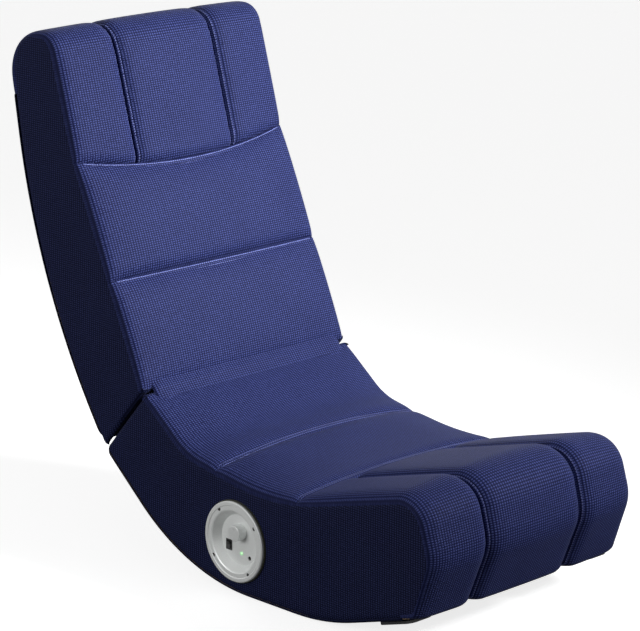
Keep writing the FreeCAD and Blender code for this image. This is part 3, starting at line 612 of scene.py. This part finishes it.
def grainGroup():
    # noise over the piece's own place, stretched to run from 0 to 1, blends two close colours
    group = bpy.data.node_groups.new("fineGrain", "ShaderNodeTree")
    group.interface.new_socket("Place", in_out="INPUT", socket_type="NodeSocketVector")
    group.interface.new_socket("Scale", in_out="INPUT", socket_type="NodeSocketFloat")
    group.interface.new_socket("Dark", in_out="INPUT", socket_type="NodeSocketColor")
    group.interface.new_socket("Light", in_out="INPUT", socket_type="NodeSocketColor")
    group.interface.new_socket("Colour", in_out="OUTPUT", socket_type="NodeSocketColor")
    group.interface.new_socket("Relief", in_out="OUTPUT", socket_type="NodeSocketFloat")
    nodes, links = group.nodes, group.links
    ins, outs = nodes.new("NodeGroupInput").outputs, nodes.new("NodeGroupOutput")
    noise = nodes.new("ShaderNodeTexNoise")
    noise.inputs["Detail"].default_value = 4
    spread = nodes.new("ShaderNodeMapRange")
    spread.inputs["From Min"].default_value = 0.35
    spread.inputs["From Max"].default_value = 0.65
    blend = nodes.new("ShaderNodeMix")
    blend.data_type = "RGBA"
    links.new(ins["Place"], noise.inputs["Vector"])
    links.new(ins["Scale"], noise.inputs["Scale"])
    links.new(noise.outputs["Fac"], spread.inputs["Value"])
    links.new(spread.outputs[0], blend.inputs["Factor"])
    links.new(ins["Dark"], blend.inputs[6])
    links.new(ins["Light"], blend.inputs[7])
    links.new(blend.outputs[2], outs.inputs["Colour"])
    links.new(noise.outputs["Fac"], outs.inputs["Relief"])
    return group


def grainMaterial(name, group, dark, light, scale, roughness, metallic=0.0, bumpSize=0.0001,
                  stretch=(1, 1, 1)):
    # a plain moulded, painted or sawn surface with a fine bump
    material, nodes, links, shader = newMaterial(name)
    place = nodes.new("ShaderNodeTexCoord")
    mapping = nodes.new("ShaderNodeMapping")
    mapping.inputs["Scale"].default_value = stretch
    grain = nodes.new("ShaderNodeGroup")
    grain.node_tree = group
    grain.inputs["Scale"].default_value = scale
    grain.inputs["Dark"].default_value = (*dark, 1)
    grain.inputs["Light"].default_value = (*light, 1)
    bump = nodes.new("ShaderNodeBump")
    bump.inputs["Strength"].default_value = 0.4
    bump.inputs["Distance"].default_value = bumpSize
    links.new(place.outputs["Object"], mapping.inputs[0])
    links.new(mapping.outputs[0], grain.inputs["Place"])
    links.new(grain.outputs["Colour"], shader.inputs["Base Color"])
    links.new(grain.outputs["Relief"], bump.inputs["Height"])
    links.new(bump.outputs[0], shader.inputs["Normal"])
    shader.inputs["Roughness"].default_value = roughness
    shader.inputs["Metallic"].default_value = metallic
    return material


nodeFinishes = {
    "wood": dict(dark=(0.40, 0.27, 0.15), light=(0.55, 0.40, 0.24),
                 scale=30, roughness=0.7, stretch=(0.15, 1, 1)),
    "steel": dict(dark=(0.45, 0.45, 0.45), light=(0.62, 0.62, 0.60),
                  scale=300, roughness=0.35, metallic=1.0),
    "darkScrew": dict(dark=(0.02, 0.02, 0.02), light=(0.07, 0.07, 0.07),
                      scale=400, roughness=0.4, metallic=0.6),
    "silverPlastic": dict(dark=(0.84, 0.86, 0.85), light=(0.90, 0.92, 0.91),
                          scale=900, roughness=0.40, metallic=0.2),
    "knobPlastic": dict(dark=(0.80, 0.82, 0.81), light=(0.88, 0.90, 0.89),
                        scale=900, roughness=0.34, metallic=0.2),
    "gasket": dict(dark=(0.020, 0.021, 0.014), light=(0.040, 0.042, 0.028), scale=700, roughness=0.85),
    "blackPlastic": dict(dark=(0.008, 0.008, 0.009), light=(0.022, 0.022, 0.024), scale=600, roughness=0.45),
    "circuit": dict(dark=(0.01, 0.12, 0.04), light=(0.03, 0.2, 0.07), scale=200, roughness=0.4),
    "paperCone": dict(dark=(0.015, 0.015, 0.015), light=(0.04, 0.04, 0.04), scale=500, roughness=0.9),
    "ferrite": dict(dark=(0.02, 0.02, 0.022), light=(0.05, 0.05, 0.052), scale=500, roughness=0.6),
    "webbing": dict(dark=(0.02, 0.02, 0.02), light=(0.05, 0.05, 0.05), scale=600, roughness=0.9),
}
slotFinish = {
    "plywood": "wood", "zinc_steel": "steel", "dark_screws": "darkScrew", "silver_plastic": "silverPlastic",
    "knob_plastic": "knobPlastic", "gasket_foam": "gasket", "black_plastic": "blackPlastic",
    "circuit_board": "circuit", "speaker_paper": "paperCone", "ferrite": "ferrite",
    "strap_webbing": "webbing",
}


def ledMaterial():
    material, nodes, links, shader = newMaterial("greenLens")
    facing = nodes.new("ShaderNodeLayerWeight")
    ramp = nodes.new("ShaderNodeValToRGB")
    ramp.color_ramp.elements[0].color = (0.55, 0.95, 0.55, 1)
    ramp.color_ramp.elements[1].color = (0.05, 0.45, 0.06, 1)
    links.new(facing.outputs["Facing"], ramp.inputs[0])
    links.new(ramp.outputs[0], shader.inputs["Base Color"])
    links.new(ramp.outputs[0], shader.inputs["Emission Color"])
    shader.inputs["Emission Strength"].default_value = 0.6
    shader.inputs["Roughness"].default_value = 0.15
    return material


def finishNodes():
    group = grainGroup()
    made = {name: grainMaterial(name, group, **facts) for name, facts in nodeFinishes.items()}
    made["led"] = ledMaterial()
    slots = {piece["node"]: piece["material_slot"] for piece in frame["record"]["subparts"]}
    for name, obj in frame["nodes"].items():
        finish = slotFinish.get(slots[name], "led" if slots[name] == "green_lens" else None)
        if finish:
            obj.data.materials.clear()
            obj.data.materials.append(made[finish])
    print("CAD nodes finished")


def finishFabric(cushionsMade, rollsMade, coversMade, weltsMade):
    group = weaveGroup()
    stitching = stitchGroup()
    plain = fabricMaterial("navyMesh", group)
    cross = chair["seamAcross"]
    gap = 0.0045
    rolled = fabricMaterial("navyMeshRolls", group, stitching,
                            [-cross - gap, -cross + gap, cross - gap, cross + gap], 0)
    # the covers at the sides, rear and below get the mesh at 0.44 of its colour. This is painted shade for
    # the faces turned away from the key lamp.
    side = fabricMaterial("navyMeshSidesPaintedShade", group, paintedShade=0.44)
    for obj in cushionsMade:
        obj.data.materials.append(plain)
    for obj in rollsMade:
        obj.data.materials.append(rolled)
    for obj in coversMade:
        obj.data.materials.append(side)
    sewn = fabricMaterial("navyMeshWelts", group, stitching, [-0.003, 0.003], 1)
    for obj in weltsMade:
        obj.data.materials.append(plain if obj.name == "foldFlap" else sewn)


# Studio
studio = {
    "camera": (-3.0694, -3.0207, 1.5565),
    "lens": 168.75,
    "keyPower": 13.5,
    "topPower": 2.6,
    "fillPower": 34,
    "worldDim": 0.11,
    "floorReach": 8,
    "floorLevel": -0.0002,     # just under the chair, so that the two don't share a face
}


def lamp(name, place, target, size, power, spread=180):
    data = bpy.data.lights.new(name, "AREA")
    data.shape = "DISK"
    data.size = size
    data.energy = power
    data.spread = math.radians(spread)
    obj = bpy.data.objects.new(name, data)
    bpy.context.scene.collection.objects.link(obj)
    obj.location = place
    obj.rotation_euler = (Vector(target) - Vector(place)).to_track_quat("-Z", "Y").to_euler()
    return obj


def makeStudio():
    scene = bpy.context.scene
    camera = bpy.data.objects.new("camera", bpy.data.cameras.new("camera"))
    scene.collection.objects.link(camera)
    camera.data.lens = studio["lens"]
    camera.data.sensor_width = 36
    camera.data.clip_end = 100
    right, up, back = (0.7145, -0.6997, 0), (0.1811, 0.1849, 0.9659), (-0.6758, -0.6901, 0.2588)
    x, y, z = studio["camera"]
    camera.matrix_world = Matrix(((right[0], up[0], back[0], x), (right[1], up[1], back[1], y),
                                  (right[2], up[2], back[2], z), (0, 0, 0, 1)))
    scene.camera = camera
    scene.view_settings.view_transform = "Standard"
    world = bpy.data.worlds.new("studio")
    scene.world = world
    world.use_nodes = True
    nodes, links = world.node_tree.nodes, world.node_tree.links
    background = nodes["Background"]
    path = nodes.new("ShaderNodeLightPath")
    seen = mathNode(nodes, links, "MAXIMUM", path.outputs["Is Camera Ray"], path.outputs["Is Glossy Ray"])
    strength = mathNode(nodes, links, "MULTIPLY_ADD", seen, 1 - studio["worldDim"])
    strength.node.inputs[2].default_value = studio["worldDim"]
    background.inputs["Color"].default_value = (1, 1, 1, 1)
    links.new(strength, background.inputs["Strength"])
    mesh = bpy.data.meshes.new("floor")
    reach, level = studio["floorReach"], studio["floorLevel"]
    corners = [(-reach, -reach, level), (reach, -reach, level), (reach, reach, level), (-reach, reach, level)]
    mesh.from_pydata(corners, [], [(0, 1, 2, 3)])
    floor = bpy.data.objects.new("floor", mesh)
    scene.collection.objects.link(floor)
    material, nodes, links, shader = newMaterial("floorWhite")
    path = nodes.new("ShaderNodeLightPath")
    for socket, dim, seen in (("Base Color", 0.15, 0.60), ("Emission Color", 0.0, 0.80)):
        mix = nodes.new("ShaderNodeMix")
        mix.data_type = "RGBA"
        mix.inputs[6].default_value = (dim, dim, dim, 1)
        mix.inputs[7].default_value = (seen, seen, seen, 1)
        links.new(path.outputs["Is Camera Ray"], mix.inputs["Factor"])
        links.new(mix.outputs[2], shader.inputs[socket])
    shader.inputs["Emission Strength"].default_value = 1.0
    shader.inputs["Roughness"].default_value = 0.9
    mesh.materials.append(material)
    lamp("key", (1.2, -1.8, 1.6), (0, 0.42, 0.62), 0.9, studio["keyPower"], 50)
    lamp("top", (0.5, -0.7, 2.2), (0, 0, 0.2), 0.8, studio["topPower"])
    lamp("fill", (-3.0, 0.7, 1.1), (0, 0.1, 0.3), 1.6, studio["fillPower"])
    print("studio made")


cushionsMade = makeCushions()
rollsMade = makeRolls()
coversMade = list(makeStripCovers()) + makeSideCovers()
weltsMade = makeWelts()
finishNodes()
finishFabric(cushionsMade, rollsMade, coversMade, weltsMade)
makeStudio()
